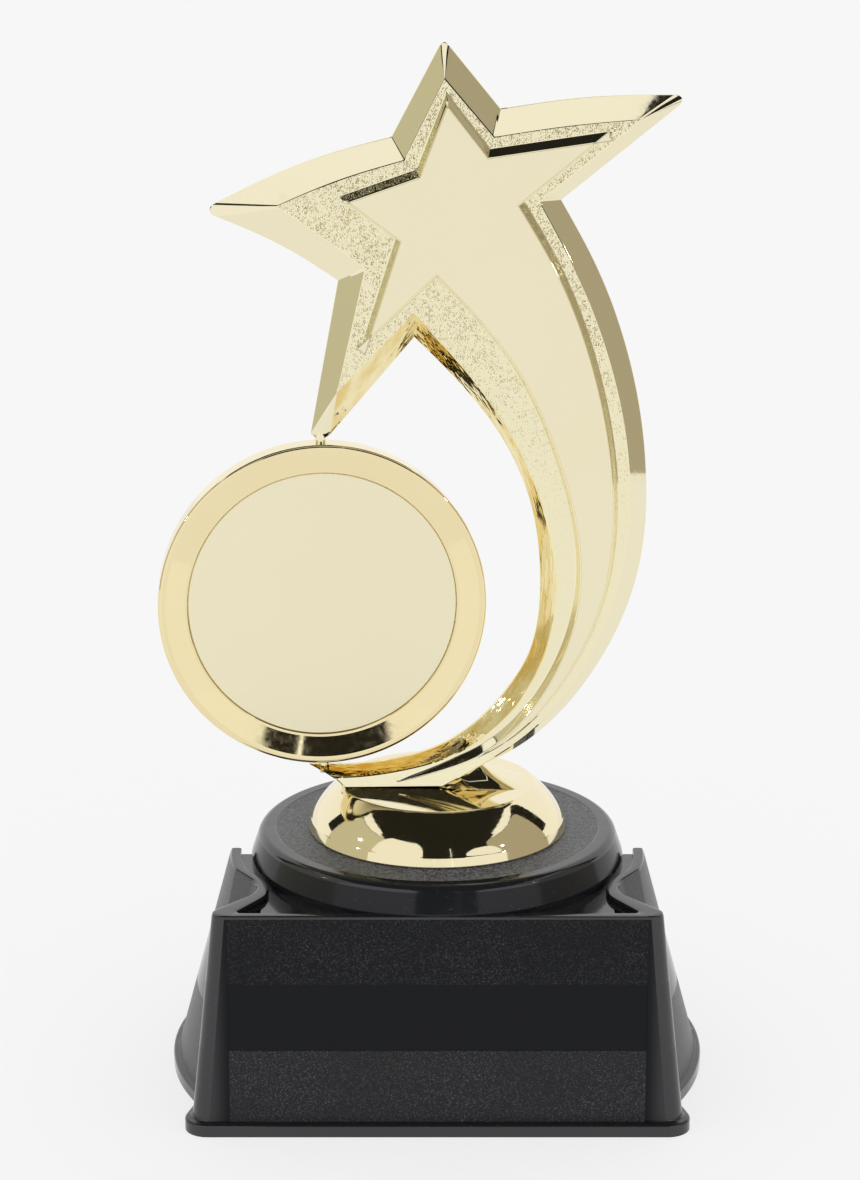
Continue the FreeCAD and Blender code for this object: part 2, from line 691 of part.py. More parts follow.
# ------------------------------------------------------------------ fastening
def build_fasteners():
    deck = size("riser_top_height") - size("base_wall")
    washer_low = deck - size("washer_thickness")
    bolt = add_body("fixing_bolt")
    head_radius, shank = size("bolt_head_radius"), size("bolt_radius")
    head_low, head_edge, tip = washer_low - size("bolt_head_height"), 0.6, 0.5
    end = washer_low + size("bolt_length")
    add_turned(bolt, "pan_head_bolt", [
        (0, head_low), (head_radius - head_edge, head_low), (head_radius, head_low + head_edge),
        (head_radius, washer_low), (shank, washer_low), (shank, end - tip), (shank - tip, end), (0, end)])
    slot_half, slot_depth = 0.5, 1.4
    slots = [
        closed_polygon([(-3.0, -slot_half), (3.0, -slot_half), (3.0, slot_half), (-3.0, slot_half)]),
        closed_polygon([(-slot_half, -3.0), (slot_half, -3.0), (slot_half, 3.0), (-slot_half, 3.0)]),
    ]
    for number, slot in enumerate(slots):
        sketch = add_sketch(bolt, "drive_slot_%d" % number, slot)
        sketch.AttachmentOffset = Placement(Vector(0, 0, head_low), Rotation())
        add_pocket(bolt, "drive_cut_%d" % number, sketch, "%g" % slot_depth, reverse=True)

    washer = add_body("fixing_washer")
    hole = size("bolt_hole_radius")
    add_turned(washer, "washer_ring", [
        (hole, washer_low), (size("washer_radius"), washer_low), (size("washer_radius"), deck), (hole, deck)])

    nut = doc.addObject("Part::Cut", "captive_nut")
    nut.Label = "captive_nut"
    block = doc.addObject("Part::Prism", "nut_block")
    block.Polygon = 6
    block.setExpression("Circumradius", "Dimensions.nut_across_flats / 1.7320508")
    block.setExpression("Height", "Dimensions.nut_thickness")
    thread = doc.addObject("Part::Cylinder", "nut_thread")
    thread.setExpression("Radius", "Dimensions.bolt_radius + 0.02")
    thread.setExpression("Height", "Dimensions.nut_thickness")
    for item in (block, thread):
        item.setExpression("Placement.Base.z", "Dimensions.riser_top_height + 0.2")
    nut.Base, nut.Tool = block, thread
    doc.recompute()
    return [bolt, washer, nut]


# ------------------------------------------------------------------ build and export
front_half = build_figure_half("figure_front_shell", 1)
rear_half = build_figure_half("figure_rear_shell", -1)
sub_parts = [build_base_shell()] + build_base_filling() + [front_half, rear_half]
sub_parts += [build_figure_foot([front_half, rear_half])]
sub_parts += build_disc() + build_pivot_pins() + build_fasteners()
doc.recompute()

for item in doc.Objects:
    if "Invalid" in item.State or "Error" in item.State:
        raise RuntimeError("%s did not build: %s" % (item.Label, item.State))
for part in sub_parts:
    if part.Shape.isNull() or not part.Shape.isValid() or not part.Shape.Solids:
        raise RuntimeError("%s has no valid solid" % part.Label)
    part.Shape.exportStep("parts/%s.step" % part.Label)
    box = part.Shape.BoundBox
    print("%-20s solids %d  volume %9.1f  size %6.1f x %6.1f x %6.1f" % (
        part.Label, len(part.Shape.Solids), part.Shape.Volume, box.XLength, box.YLength, box.ZLength))
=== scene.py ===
"""Looks of the star trophy: mirror gold figure and disc on a grained black base, in a light tent."""

import json
import math

import bpy
import numpy as np
from mathutils import Matrix, Vector
from mathutils.geometry import delaunay_2d_cdt


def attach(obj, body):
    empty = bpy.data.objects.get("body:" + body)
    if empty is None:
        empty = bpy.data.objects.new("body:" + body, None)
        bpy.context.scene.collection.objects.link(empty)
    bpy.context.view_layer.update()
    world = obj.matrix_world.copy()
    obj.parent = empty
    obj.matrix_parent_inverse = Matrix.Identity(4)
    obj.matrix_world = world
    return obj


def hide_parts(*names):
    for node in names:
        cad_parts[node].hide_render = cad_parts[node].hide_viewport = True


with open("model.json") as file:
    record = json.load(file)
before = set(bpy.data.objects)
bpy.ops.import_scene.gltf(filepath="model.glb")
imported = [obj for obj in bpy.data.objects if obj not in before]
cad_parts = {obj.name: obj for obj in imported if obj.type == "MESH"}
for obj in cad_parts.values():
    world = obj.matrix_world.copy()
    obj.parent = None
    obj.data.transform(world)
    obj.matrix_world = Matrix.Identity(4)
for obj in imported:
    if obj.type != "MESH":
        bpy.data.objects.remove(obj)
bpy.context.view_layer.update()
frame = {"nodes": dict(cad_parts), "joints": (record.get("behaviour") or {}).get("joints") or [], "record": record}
MM = 0.001

# ------------------------------------------------------------------ sizes, in millimetres
# The figure is drawn in its own XZ plane. Depths run from that plane outwards, to the front and to the rear.
EDGE_HALF = 0.6          # half of the flat edge round the figure
FACE_DEPTH = 3.4         # the sunken border between the bevels and the raised panel
PANEL_DEPTH = 5.0        # the raised panel, where it stands highest
PANEL_DRAFT = 0.68       # how far the panel's side wall leans in
EDGE_SOFTNESS = 0.16     # width of the facet left on each edge
OUTLINE_STEP = 0.7       # spacing of the points along an outline
TAIL_TAPER = 16.0        # the panel rises to its full height over this distance from the tail's point
CROWN_DROP = 0.55        # the panel's top lies this much lower on the figure than its foot
CROWN_EDGE_DROP = 0.16   # the side wall ends this far below the panel's top
# Steps from the crown's edge inwards (distance in, depth below the crown): a chamfer and a hair groove
CROWN_EDGE = [(0.06, 0.08), (0.2, 0.0), (0.24, 0.0), (0.27, 0.07), (0.3, 0.07), (0.34, 0.0), (0.38, 0.0)]
# From SWELL_TOP down the tail's faces swell outwards, so its lowest stretch leans back
SWELL_TOP, SWELL_REACH, SWELL_SLOPE = 62.5, 6.0, 0.2
# Outline rules: the smallest mitre share at a sharp corner, and the most of an edge that one rounding takes
MITRE_LIMIT, EDGE_SHARE = 0.35, 0.45
# The base
FLANGE_TOP, RIM_Z, MOAT_Z, RISER_Z, WELL_Z = 2.4, 42.2, 40.9, 47.2, 30.2
FLANGE_RADIUS, CONE_LOW, CONE_HIGH = 51.8, 50.7, 39.9
FLANGE_SOFTNESS, RIM_SOFTNESS, RIM_WIDTH = 0.5, 0.35, 2.0
RISER_FOOT, RISER_TOP, RISER_SHOULDER = 35.9, 34.2, 0.7
SANDED_RADIUS, SANDED_DROP = 31.0, 0.12
BAND_LOW, BAND_HIGH, BAND_HALF, BAND_RECESS, CORNER_START = 16.3, 29.1, 38.2, 0.1, 42.0
COVE_LOW, COVE_HIGH, COVE_STEPS = 21.0, 39.2, 24
# The gold foot and the disc
FOOT_RADIUS, FOOT_TOP_RADIUS, FOOT_BAND_Z, FOOT_TOP_Z = 24.9, 19.2, 49.2, 56.0
DISC_RADIUS, DISC_HALF, DISC_EDGE, DISC_BORDER = 31.0, 3.0, 0.35, 1.2
LIP_RADIUS, LIP_DEPTH, LIP_WIDTH = 25.85, 1.2, 0.38
SEAT_RADIUS, SEAT_HOLE, SEAT_Z = 25.4, 20.0, 0.9

# Outlines of the figure, clockwise from the top tip: straight stretches, and smooth ones through their points
RIM = [
    ("curve", [(0.3, 195.0), (1.2, 195.6), (2.1, 195.0)]),
    ("line", [(2.1, 195.0), (11.4, 183.8)]),
    ("curve", [(11.4, 183.8), (27.4, 185.9), (43.2, 186.3)]),
    ("curve", [(43.2, 186.3), (44.1, 185.6), (43.8, 184.5)]),
    ("line", [(43.8, 184.5), (22.5, 167.4)]),
    ("curve", [(22.5, 167.4), (28.7, 156.2), (36.2, 135.4), (39.1, 114.0), (37.9, 98.2),
               (29.5, 77.9), (16.5, 63.7), (1.0, 56.2)]),
    ("line", [(1.0, 56.2), (-18.2, 56.0)]),
    ("line", [(-18.2, 56.0), (-24.6, 59.5)]),
    ("curve", [(-24.6, 59.5), (-15.4, 59.4), (-7.2, 60.7), (0.9, 63.4), (12.0, 72.9), (17.2, 81.1),
               (19.4, 95.0), (17.4, 111.1), (10.0, 126.4), (-4.3, 142.2)]),
    ("line", [(-4.3, 142.2), (-20.1, 123.8)]),
    ("curve", [(-20.1, 123.8), (-21.8, 123.0), (-23.6, 124.2)]),
    ("line", [(-23.6, 124.2), (-18.3, 152.7)]),
    ("curve", [(-18.3, 152.7), (-27.5, 158.5), (-41.0, 164.6)]),
    ("curve", [(-41.0, 164.6), (-41.6, 165.7), (-41.0, 166.6)]),
    ("curve", [(-41.0, 166.6), (-23.5, 174.5), (-8.4, 178.8)]),
    ("line", [(-8.4, 178.8), (0.3, 195.0)]),
]

# The stretches of the rim that look onto the disc: the tail's inner side and the arm above the disc
INNER_BEVELS = (8, 9)

FACE = [
    ("line", [(1.2, 189.3), (1.25, 189.35), (1.3, 189.3)]),
    ("line", [(1.3, 189.3), (10.2, 179.0)]),
    ("curve", [(10.2, 179.0), (23.0, 180.9), (36.7, 182.2)]),
    ("line", [(36.7, 182.2), (36.7, 182.1)]),
    ("line", [(36.7, 182.1), (18.5, 167.4)]),
    ("curve", [(18.5, 167.4), (23.8, 157.7), (31.5, 138.9), (35.9, 116.0), (35.0, 99.6),
               (28.1, 79.8), (15.8, 65.2), (1.0, 56.25)]),
    ("line", [(1.0, 56.25), (-17.6, 56.05)]),
    ("line", [(-17.6, 56.05), (-19.6, 58.0)]),
    ("curve", [(-19.6, 58.0), (-14.0, 58.3), (-7.2, 59.3), (2.8, 62.2), (14.6, 71.6), (20.1, 82.0),
               (22.3, 95.0), (18.5, 113.6), (12.0, 127.0), (-4.3, 146.9)]),
    ("line", [(-4.3, 146.9), (-18.5, 132.2)]),
    ("line", [(-18.5, 132.2), (-18.6, 132.3)]),
    ("line", [(-18.6, 132.3), (-13.2, 155.2)]),
    ("curve", [(-13.2, 155.2), (-20.6, 160.6), (-29.2, 166.5)]),
    ("line", [(-29.2, 166.5), (-29.2, 166.6)]),
    ("curve", [(-29.2, 166.6), (-17.5, 171.4), (-6.0, 174.9)]),
    ("line", [(-6.0, 174.9), (1.2, 189.3)]),
]

PANEL = [
    ("line", [(1.5, 186.8), (9.4, 176.8)]),
    ("line", [(9.4, 176.8), (31.5, 180.0)]),
    ("line", [(31.5, 180.0), (15.7, 167.2)]),
    ("curve", [(15.7, 167.2), (21.9, 156.6), (29.8, 136.0), (33.6, 112.0), (32.5, 96.9),
               (25.6, 79.2), (12.0, 64.2), (-8.0, 57.2)]),
    ("curve", [(-8.0, 57.2), (11.9, 67.0), (20.6, 78.0), (25.9, 96.0), (21.8, 120.0),
               (12.7, 138.9), (-0.2, 153.6)]),
    ("line", [(-0.2, 153.6), (-14.3, 140.3)]),
    ("line", [(-14.3, 140.3), (-7.7, 160.6)]),
    ("line", [(-7.7, 160.6), (-18.0, 168.2)]),
    ("line", [(-18.0, 168.2), (-3.9, 173.1)]),
    ("line", [(-3.9, 173.1), (1.5, 186.8)]),
]

# The tail's point is where this stretch of the panel starts
TAIL_STRETCH = 4
# The stretches of the panel whose side wall carries the border's texture
TEXTURED_WALLS = (3, 6, 8)


# ------------------------------------------------------------------ curves
def spline_points(points, count):
    """Natural cubic spline through the points, at even steps of its chord length, without its end."""
    knots = np.array(points, float)
    reach = np.concatenate([[0.0], np.cumsum(np.linalg.norm(np.diff(knots, axis=0), axis=1))])
    gaps = np.diff(reach)
    last = len(knots) - 1
    system = np.eye(last + 1)
    right = np.zeros_like(knots)
    for k in range(1, last):
        system[k, k - 1:k + 2] = gaps[k - 1], 2 * (gaps[k - 1] + gaps[k]), gaps[k]
        right[k] = 6 * ((knots[k + 1] - knots[k]) / gaps[k] - (knots[k] - knots[k - 1]) / gaps[k - 1])
    bend = np.linalg.solve(system, right)
    out = []
    for at in np.linspace(0, reach[-1], count + 1)[:-1]:
        k = min(int(np.searchsorted(reach, at, side="right")) - 1, last - 1)
        a, b, gap = reach[k + 1] - at, at - reach[k], gaps[k]
        out.append((bend[k] * a ** 3 + bend[k + 1] * b ** 3) / (6 * gap)
                   + (knots[k] / gap - bend[k] * gap / 6) * a
                   + (knots[k + 1] / gap - bend[k + 1] * gap / 6) * b)
    return out


def step_counts(outline):
    """How many steps each stretch of an outline takes, so that they are about OUTLINE_STEP long."""
    counts = []
    for kind, points in outline:
        length = sum(math.dist(a, b) for a, b in zip(points, points[1:]))
        counts.append(max(int(length / OUTLINE_STEP), 4 if kind == "curve" else 2))
    return counts


def sampled(outline, counts):
    """The closed outline as points, with a given number of steps along each stretch."""
    out = []
    for (kind, points), count in zip(outline, counts):
        ends = points if kind == "curve" else [points[0], points[-1]]
        out += spline_points(ends, count)
    return np.array(out)


def stretch_starts(counts):
    """The number of the first point of each stretch, and of the one after the last."""
    return np.concatenate([[0], np.cumsum(counts)])


def grown(loop, distance):
    """The clockwise loop moved outwards by a distance, the same all round or one for each point."""
    before, after = loop - np.roll(loop, 1, axis=0), np.roll(loop, -1, axis=0) - loop
    normals = []
    for edge in (before, after):
        edge = edge / np.maximum(np.linalg.norm(edge, axis=1), 1e-9)[:, None]
        normals.append(np.stack([-edge[:, 1], edge[:, 0]], axis=1))
    first, second = normals
    share = np.maximum(1 + (first * second).sum(axis=1), MITRE_LIMIT)
    return loop + (first + second) * (distance / share)[:, None]


def towards(rows, others, distance):
    """Each point moved a distance along the line to its partner."""
    step = others - rows
    length = np.maximum(np.linalg.norm(step, axis=1), 1e-9)
    return rows + step * (np.minimum(distance, length * EDGE_SHARE) / length)[:, None]


def between(first, second, share):
    """The point or points a share of the way from the first to the second."""
    return first + (second - first) * share


def rounding(start, corner, end, steps):
    """Points of the smooth bend that leaves start towards the corner and arrives at end."""
    out = []
    for k in range(steps + 1):
        t = k / steps
        out.append(start * (1 - t) ** 2 + corner * 2 * t * (1 - t) + end * t ** 2)
    return out


def softened(profile, distance, steps=3):
    """The open profile with each inner corner rounded by a short bend."""
    out = [profile[0]]
    for before, here, after in zip(profile, profile[1:], profile[2:]):
        corner = Vector(here)
        back, ahead = Vector(before) - corner, Vector(after) - corner
        reach = min(distance, back.length * EDGE_SHARE, ahead.length * EDGE_SHARE)
        start, end = corner + back.normalized() * reach, corner + ahead.normalized() * reach
        out += [tuple(point) for point in rounding(start, corner, end, steps)]
    out.append(profile[-1])
    return out


def softened_loop(corners, share=0.3, steps=5):
    """The closed loop of corners with each one rounded over a share of its two sides."""
    out = []
    for k, here in enumerate(corners):
        before, here, after = (np.array(c) for c in (corners[k - 1], here, corners[(k + 1) % len(corners)]))
        out += rounding(between(here, before, share), here, between(here, after, share), steps)
    return np.array(out)


def at_height(flat, height):
    """Points of the plan lifted to a height."""
    return [(x, y, height) for x, y in flat]


# ------------------------------------------------------------------ mesh building
CREASE_ANGLE = 28.0       # degrees: a sharper edge than this stays sharp
WELD_DISTANCE = 2e-6      # metres
FILL_TOLERANCE = 1e-5     # millimetres
SLIVER = 4e-4             # square millimetres: a fill leaves out triangles whose doubled area is less


class Shell:
    """Collects rows of points and the faces between them, then makes one object."""

    def __init__(self, name):
        self.name = name
        self.points = []
        self.faces = []
        self.slots = []

    def row(self, points):
        """Add points and return their numbers."""
        start = len(self.points)
        self.points += [tuple(p) for p in points]
        return list(range(start, len(self.points)))

    def strip(self, low, high, slot=0, closed=True):
        """Faces between two rows of the same length."""
        pairs = len(low) if closed else len(low) - 1
        for k in range(pairs):
            after = (k + 1) % len(low)
            self.faces.append((low[k], low[after], high[after], high[k]))
            self.slots.append(slot)

    def rows(self, rows, slot=0, closed=True):
        """A strip between each row and the next."""
        for low, high in zip(rows, rows[1:]):
            self.strip(low, high, slot, closed)

    def fill(self, loops, across, up, slot=0):
        """Flat area bounded by one outer loop and its holes, drawn in the plane of two axes."""
        flat = [index for loop in loops for index in loop]
        corners = np.array([(self.points[index][across], self.points[index][up]) for index in flat])
        sides, start = [], 0
        for loop in loops:
            count = len(loop)
            sides += [(start + k, start + (k + 1) % count) for k in range(count)]
            start += count
        spots, _, triangles, sources, _, _ = delaunay_2d_cdt([Vector(c) for c in corners], sides, [], 0,
                                                             FILL_TOLERANCE)
        depth_axis = 3 - across - up
        depth = self.points[flat[0]][depth_axis]
        used = []
        for spot, source in zip(spots, sources):
            if source:
                used.append(flat[source[0]])
            else:
                point = [depth] * 3
                point[across], point[up] = spot
                used += self.row([point])
        # a triangle is inside where a line from its middle crosses the loops an odd number of times
        a, b = corners[[side[0] for side in sides]], corners[[side[1] for side in sides]]
        for triangle in triangles:
            first, second, third = (spots[k] for k in triangle)
            if abs((second - first).cross(third - first)) < SLIVER:
                continue
            x, y = (first + second + third) / 3
            spans = (a[:, 1] > y) != (b[:, 1] > y)
            rise = np.where(spans, b[:, 1] - a[:, 1], 1.0)
            crossings = spans & (x < a[:, 0] + (y - a[:, 1]) / rise * (b[:, 0] - a[:, 0]))
            if crossings.sum() % 2:
                self.faces.append(tuple(used[k] for k in triangle))
                self.slots.append(slot)

    def build(self, materials, body, node):
        """Turn the points into a piece that rides on a body and stands in for a node of the frame."""
        mesh = bpy.data.meshes.new(self.name)
        mesh.from_pydata([tuple(c * MM for c in p) for p in self.points], [], self.faces)
        for material in materials:
            mesh.materials.append(material)
        mesh.polygons.foreach_set("material_index", self.slots)
        mesh.validate(clean_customdata=False)
        piece = bpy.data.objects.new(self.name, mesh)
        bpy.context.scene.collection.objects.link(piece)
        weld = piece.modifiers.new("weld", "WELD")
        weld.merge_threshold = WELD_DISTANCE
        mesh.shade_smooth()
        mesh.set_sharp_from_angle(angle=math.radians(CREASE_ANGLE))
        weighted = piece.modifiers.new("face_weighted_normals", "WEIGHTED_NORMAL")
        weighted.keep_sharp = True
        weighted.weight = 90
        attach(piece, body)
        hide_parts(node)


def lathe(shell, profile, turn=(0.0, 360.0), steps=200, slot=0, place=None):
    """A profile of (radius, height) corners turned about the Z axis, and put in its place."""
    closed = abs(turn[1] - turn[0] - 360.0) < 1e-6
    angles = np.radians(np.linspace(turn[0], turn[1], steps + 1))
    angles = angles[:-1] if closed else angles
    made = []
    for radius, height in profile:
        ring = [Vector((radius * math.cos(a), radius * math.sin(a), height)) for a in angles]
        made.append(shell.row([place @ p for p in ring] if place else ring))
    shell.rows(made, slot, closed)


# ------------------------------------------------------------------ materials
class Nodes:
    """Short way to wire a material's nodes. Textures follow the piece, in metres."""

    def __init__(self, name):
        self.material = bpy.data.materials.new(name)
        self.material.use_nodes = True
        self.tree = self.material.node_tree
        self.shader = self.tree.nodes["Principled BSDF"]
        self.coordinates = self.add("ShaderNodeTexCoord").outputs["Object"]

    def add(self, kind, **settings):
        node = self.tree.nodes.new(kind)
        for key, value in settings.items():
            setattr(node, key, value)
        return node

    def link(self, source, target):
        self.tree.links.new(source, target)

    def feed(self, socket, source):
        """Drive one of the shader's sockets with a node."""
        self.link(source, self.shader.inputs[socket])

    def set(self, **sockets):
        """Set the shader's own constants."""
        for key, value in sockets.items():
            self.shader.inputs[key.replace("_", " ")].default_value = value

    def axes(self):
        """The place on the piece as separate x, y and z."""
        split = self.add("ShaderNodeSeparateXYZ")
        self.link(self.coordinates, split.inputs[0])
        return split.outputs

    def stretched(self, scale, lean):
        """Coordinates scaled along each axis and leant about Y by an angle in degrees."""
        mapping = self.add("ShaderNodeMapping")
        mapping.inputs["Scale"].default_value = scale
        mapping.inputs["Rotation"].default_value = (0.0, math.radians(lean), 0.0)
        self.link(self.coordinates, mapping.inputs["Vector"])
        return mapping.outputs["Vector"]

    def noise(self, vector, scale, detail=2.0, roughness=0.5):
        noise = self.add("ShaderNodeTexNoise")
        noise.inputs["Scale"].default_value = scale
        noise.inputs["Detail"].default_value = detail
        noise.inputs["Roughness"].default_value = roughness
        self.link(vector, noise.inputs["Vector"])
        return noise.outputs["Fac"]

    def cells(self, vector, scale):
        """Distance to the middle of the nearest of many small cells."""
        cells = self.add("ShaderNodeTexVoronoi")
        cells.inputs["Scale"].default_value = scale
        self.link(vector, cells.inputs["Vector"])
        return cells.outputs["Distance"]

    def span(self, value, low, high, out_low, out_high):
        """Smooth ramp from out_low to out_high as the value goes from low to high."""
        span = self.add("ShaderNodeMapRange", interpolation_type="SMOOTHSTEP")
        for key, number in (("From Min", low), ("From Max", high), ("To Min", out_low), ("To Max", out_high)):
            span.inputs[key].default_value = number
        self.link(value, span.inputs["Value"])
        return span.outputs["Result"]

    def maths(self, operation, first, second):
        maths = self.add("ShaderNodeMath", operation=operation)
        for socket, value in zip(maths.inputs, (first, second)):
            if isinstance(value, (int, float)):
                socket.default_value = value
            else:
                self.link(value, socket)
        return maths.outputs[0]

    def times(self, first, second):
        return self.maths("MULTIPLY", first, second)

    def plus(self, first, second):
        return self.maths("ADD", first, second)

    def rest_of(self, value):
        """One less the value."""
        return self.maths("SUBTRACT", 1.0, value)

    def bump(self, height, distance, below=None):
        """Relief of a depth in metres, on top of another one where that is given."""
        bump = self.add("ShaderNodeBump")
        bump.inputs["Distance"].default_value = distance
        bump.inputs["Strength"].default_value = 1.0
        self.link(height, bump.inputs["Height"])
        if below is not None:
            self.link(below, bump.inputs["Normal"])
        return bump.outputs["Normal"]

    def tint(self, value, low, high):
        """Colour that goes from low to high as the value goes from 0 to 1."""
        mix = self.add("ShaderNodeMix", data_type="RGBA")
        mix.inputs["A"].default_value = (*low, 1.0)
        mix.inputs["B"].default_value = (*high, 1.0)
        self.link(value, mix.inputs["Factor"])
        return mix.outputs["Result"]


def mirror_gold(name, low, high):
    """Vacuum-metallised plastic: a mirror with a faint moulding ripple and fine dust."""
    nodes = Nodes(name)
    ripple = nodes.noise(nodes.coordinates, 60.0, 2.0)
    fine = nodes.noise(nodes.coordinates, 900.0, 3.0)
    nodes.feed("Base Color", nodes.tint(ripple, low, high))
    nodes.feed("Roughness", nodes.span(fine, 0.3, 0.8, 0.035, 0.09))
    nodes.feed("Normal", nodes.bump(ripple, 0.00006))
    nodes.set(Metallic=1.0)
    return nodes.material


def streaked_gold_and_painted_reflection():
    """Inner bevels that look onto the disc: a deeper colour painted in as gold reflected in gold, with long drawn
    streaks.
    """
    nodes = Nodes("streaked_gold_and_painted_reflection")
    streaks = nodes.noise(nodes.stretched((1.0, 2.0, 0.25), -30), 170.0, 3.0, 0.6)
    ripple = nodes.noise(nodes.coordinates, 110.0, 2.0)
    strong = nodes.span(streaks, 0.38, 0.62, 0.0, 1.0)
    # painted reflection: the deep orange tones stand for the gold disc and bevels reflected in one another
    nodes.feed("Base Color", nodes.tint(strong, (0.8, 0.61, 0.24), (0.92, 0.82, 0.5)))
    nodes.feed("Roughness", nodes.span(streaks, 0.3, 0.7, 0.04, 0.1))
    drawn = nodes.bump(streaks, 0.00028)
    nodes.feed("Normal", nodes.bump(ripple, 0.0003, below=drawn))
    nodes.set(Metallic=1.0)
    return nodes.material


def stippled_gold():
    """The sunken border: fine short marks close together, painted darker as shade in their hollows, with smoother
    patches between them.
    """
    nodes = Nodes("stippled_gold")
    marks = nodes.cells(nodes.stretched((1.0, 1.0, 0.5), -35), 4700.0)
    patches = nodes.noise(nodes.coordinates, 1300.0, 3.0)
    dents = nodes.times(nodes.span(marks, 0.1, 0.55, 1.0, 0.0), nodes.span(patches, 0.35, 0.65, 0.25, 1.0))
    # the marks fade out down the tail
    _, _, z = nodes.axes()
    dents = nodes.times(dents, nodes.span(z, 0.07, 0.17, 0.0, 1.0))
    nodes.feed("Normal", nodes.bump(nodes.rest_of(dents), 0.0001))
    # painted shade: the dents are coloured darker and a deeper gold, as shade in the hollows
    nodes.feed("Base Color", nodes.tint(dents, (0.9, 0.835, 0.58), (0.7, 0.59, 0.33)))
    nodes.feed("Roughness", nodes.span(patches, 0.3, 0.7, 0.13, 0.19))
    nodes.set(Metallic=1.0)
    return nodes.material


def satin_gold():
    """Thin anodised plate with an even, fine satin grain."""
    nodes = Nodes("satin_gold")
    grain = nodes.noise(nodes.coordinates, 5200.0, 2.0)
    cloud = nodes.noise(nodes.coordinates, 40.0, 2.0)
    nodes.feed("Base Color", nodes.tint(cloud, (0.865, 0.80, 0.57), (0.885, 0.82, 0.59)))
    nodes.feed("Roughness", nodes.span(grain, 0.3, 0.7, 0.28, 0.31))
    nodes.feed("Normal", nodes.bump(grain, 0.000002))
    nodes.set(Metallic=1.0)
    return nodes.material


def black_panel():
    """The shield's flat front: grain above and below a smooth band, its sparkle painted in as pale specks, with
    painted reflected floor light on the lower grain and a painted sheen paler towards its corners.
    """
    nodes = Nodes("black_panel")
    x, _, z = nodes.axes()
    across = nodes.maths("ABSOLUTE", x, 0.0)
    soft = 0.0001

    def above(value, limit):
        return nodes.span(value, limit * MM - soft, limit * MM + soft, 0.0, 1.0)

    # the grain is neither on the band nor at the corners
    band = nodes.times(above(z, BAND_LOW), nodes.rest_of(above(z, BAND_HIGH)))
    grained = nodes.times(nodes.rest_of(band), nodes.rest_of(above(across, BAND_HALF)))
    # specks in drifts, stronger in the panel's lower part, partly as painted reflected light from the floor there
    fine = nodes.noise(nodes.coordinates, 2300.0, 3.0, 0.7)
    drifts = nodes.span(nodes.noise(nodes.coordinates, 90.0, 3.0), 0.35, 0.65, 0.55, 1.0)
    drifts = nodes.times(drifts, nodes.span(z, BAND_LOW * MM, BAND_HIGH * MM, 1.5, 0.85))
    # the specks are real relief, and their pale share of the base colour below is a painted glint of light off the
    # grain
    sparkle = nodes.span(nodes.cells(nodes.coordinates, 5200.0), 0.1, 0.6, 1.0, 0.0)
    specks_and_glints = nodes.times(sparkle, nodes.span(fine, 0.42, 0.66, 0.0, 1.0))
    grain = nodes.times(nodes.times(specks_and_glints, drifts), grained)
    lift = nodes.times(nodes.plus(grain, nodes.times(fine, 0.5)), grained)
    nodes.feed("Normal", nodes.bump(lift, 0.00006))
    nodes.feed("Roughness", nodes.span(grained, 0.0, 1.0, 0.1, 0.38))
    # painted reflection: the grain's colour pales towards the bottom, standing for the floor's light on it
    painted_floor_reflection = nodes.span(z, BAND_LOW * MM, BAND_HIGH * MM, 0.065, 0.0)
    pale = nodes.plus(nodes.times(grain, 0.7), nodes.times(painted_floor_reflection, grained))
    # painted sheen: the base colour pales towards the corners, where the side lights catch them
    pale = nodes.plus(pale, nodes.span(across, BAND_HALF * MM, CORNER_START * MM, 0.0, 0.22))
    nodes.feed("Base Color", nodes.tint(pale, (0.0045, 0.005, 0.0065), (0.17, 0.17, 0.175)))
    nodes.set(Specular_IOR_Level=0.15)
    return nodes.material


def black_gloss(name, shine):
    """Glossy black moulding with a faint flow pattern and fine dust."""
    nodes = Nodes(name)
    flow = nodes.noise(nodes.coordinates, 70.0, 3.0)
    dust = nodes.span(nodes.noise(nodes.coordinates, 1900.0, 2.0, 0.7), 0.62, 0.8, 0.0, 1.0)
    nodes.feed("Base Color", nodes.tint(dust, (0.011, 0.0115, 0.0135), (0.05, 0.05, 0.052)))
    nodes.feed("Roughness", nodes.span(flow, 0.3, 0.7, 0.08, 0.15))
    nodes.feed("Normal", nodes.bump(flow, 0.00012))
    nodes.set(Specular_IOR_Level=shine)
    return nodes.material


def black_wall():
    """Lightly grained side wings and bell, with the smooth band running on round them."""
    nodes = Nodes("black_wall")
    _, _, z = nodes.axes()
    soft = 0.0002
    low = nodes.span(z, BAND_LOW * MM - soft, BAND_LOW * MM + soft, 1.0, 0.0)
    high = nodes.span(z, BAND_HIGH * MM - soft, BAND_HIGH * MM + soft, 0.0, 1.0)
    grained = nodes.plus(low, high)
    fine = nodes.noise(nodes.coordinates, 1700.0, 4.0, 0.7)
    nodes.feed("Normal", nodes.bump(nodes.times(fine, grained), 0.0001))
    nodes.feed("Roughness", nodes.span(grained, 0.0, 1.0, 0.12, 0.36))
    nodes.feed("Base Color", nodes.tint(fine, (0.01, 0.0105, 0.012), (0.05, 0.05, 0.052)))
    nodes.set(Specular_IOR_Level=0.7)
    return nodes.material


def sanded_black():
    """Matt top of the riser inside its smooth border."""
    nodes = Nodes("sanded_black")
    grain = nodes.noise(nodes.coordinates, 2600.0, 3.0, 0.7)
    nodes.feed("Normal", nodes.bump(grain, 0.00014))
    nodes.feed("Roughness", nodes.span(grain, 0.3, 0.7, 0.4, 0.56))
    pale = nodes.span(grain, 0.4, 0.6, 0.0, 1.0)
    nodes.feed("Base Color", nodes.tint(pale, (0.026, 0.028, 0.032), (0.17, 0.172, 0.178)))
    nodes.set(Specular_IOR_Level=0.6)
    return nodes.material


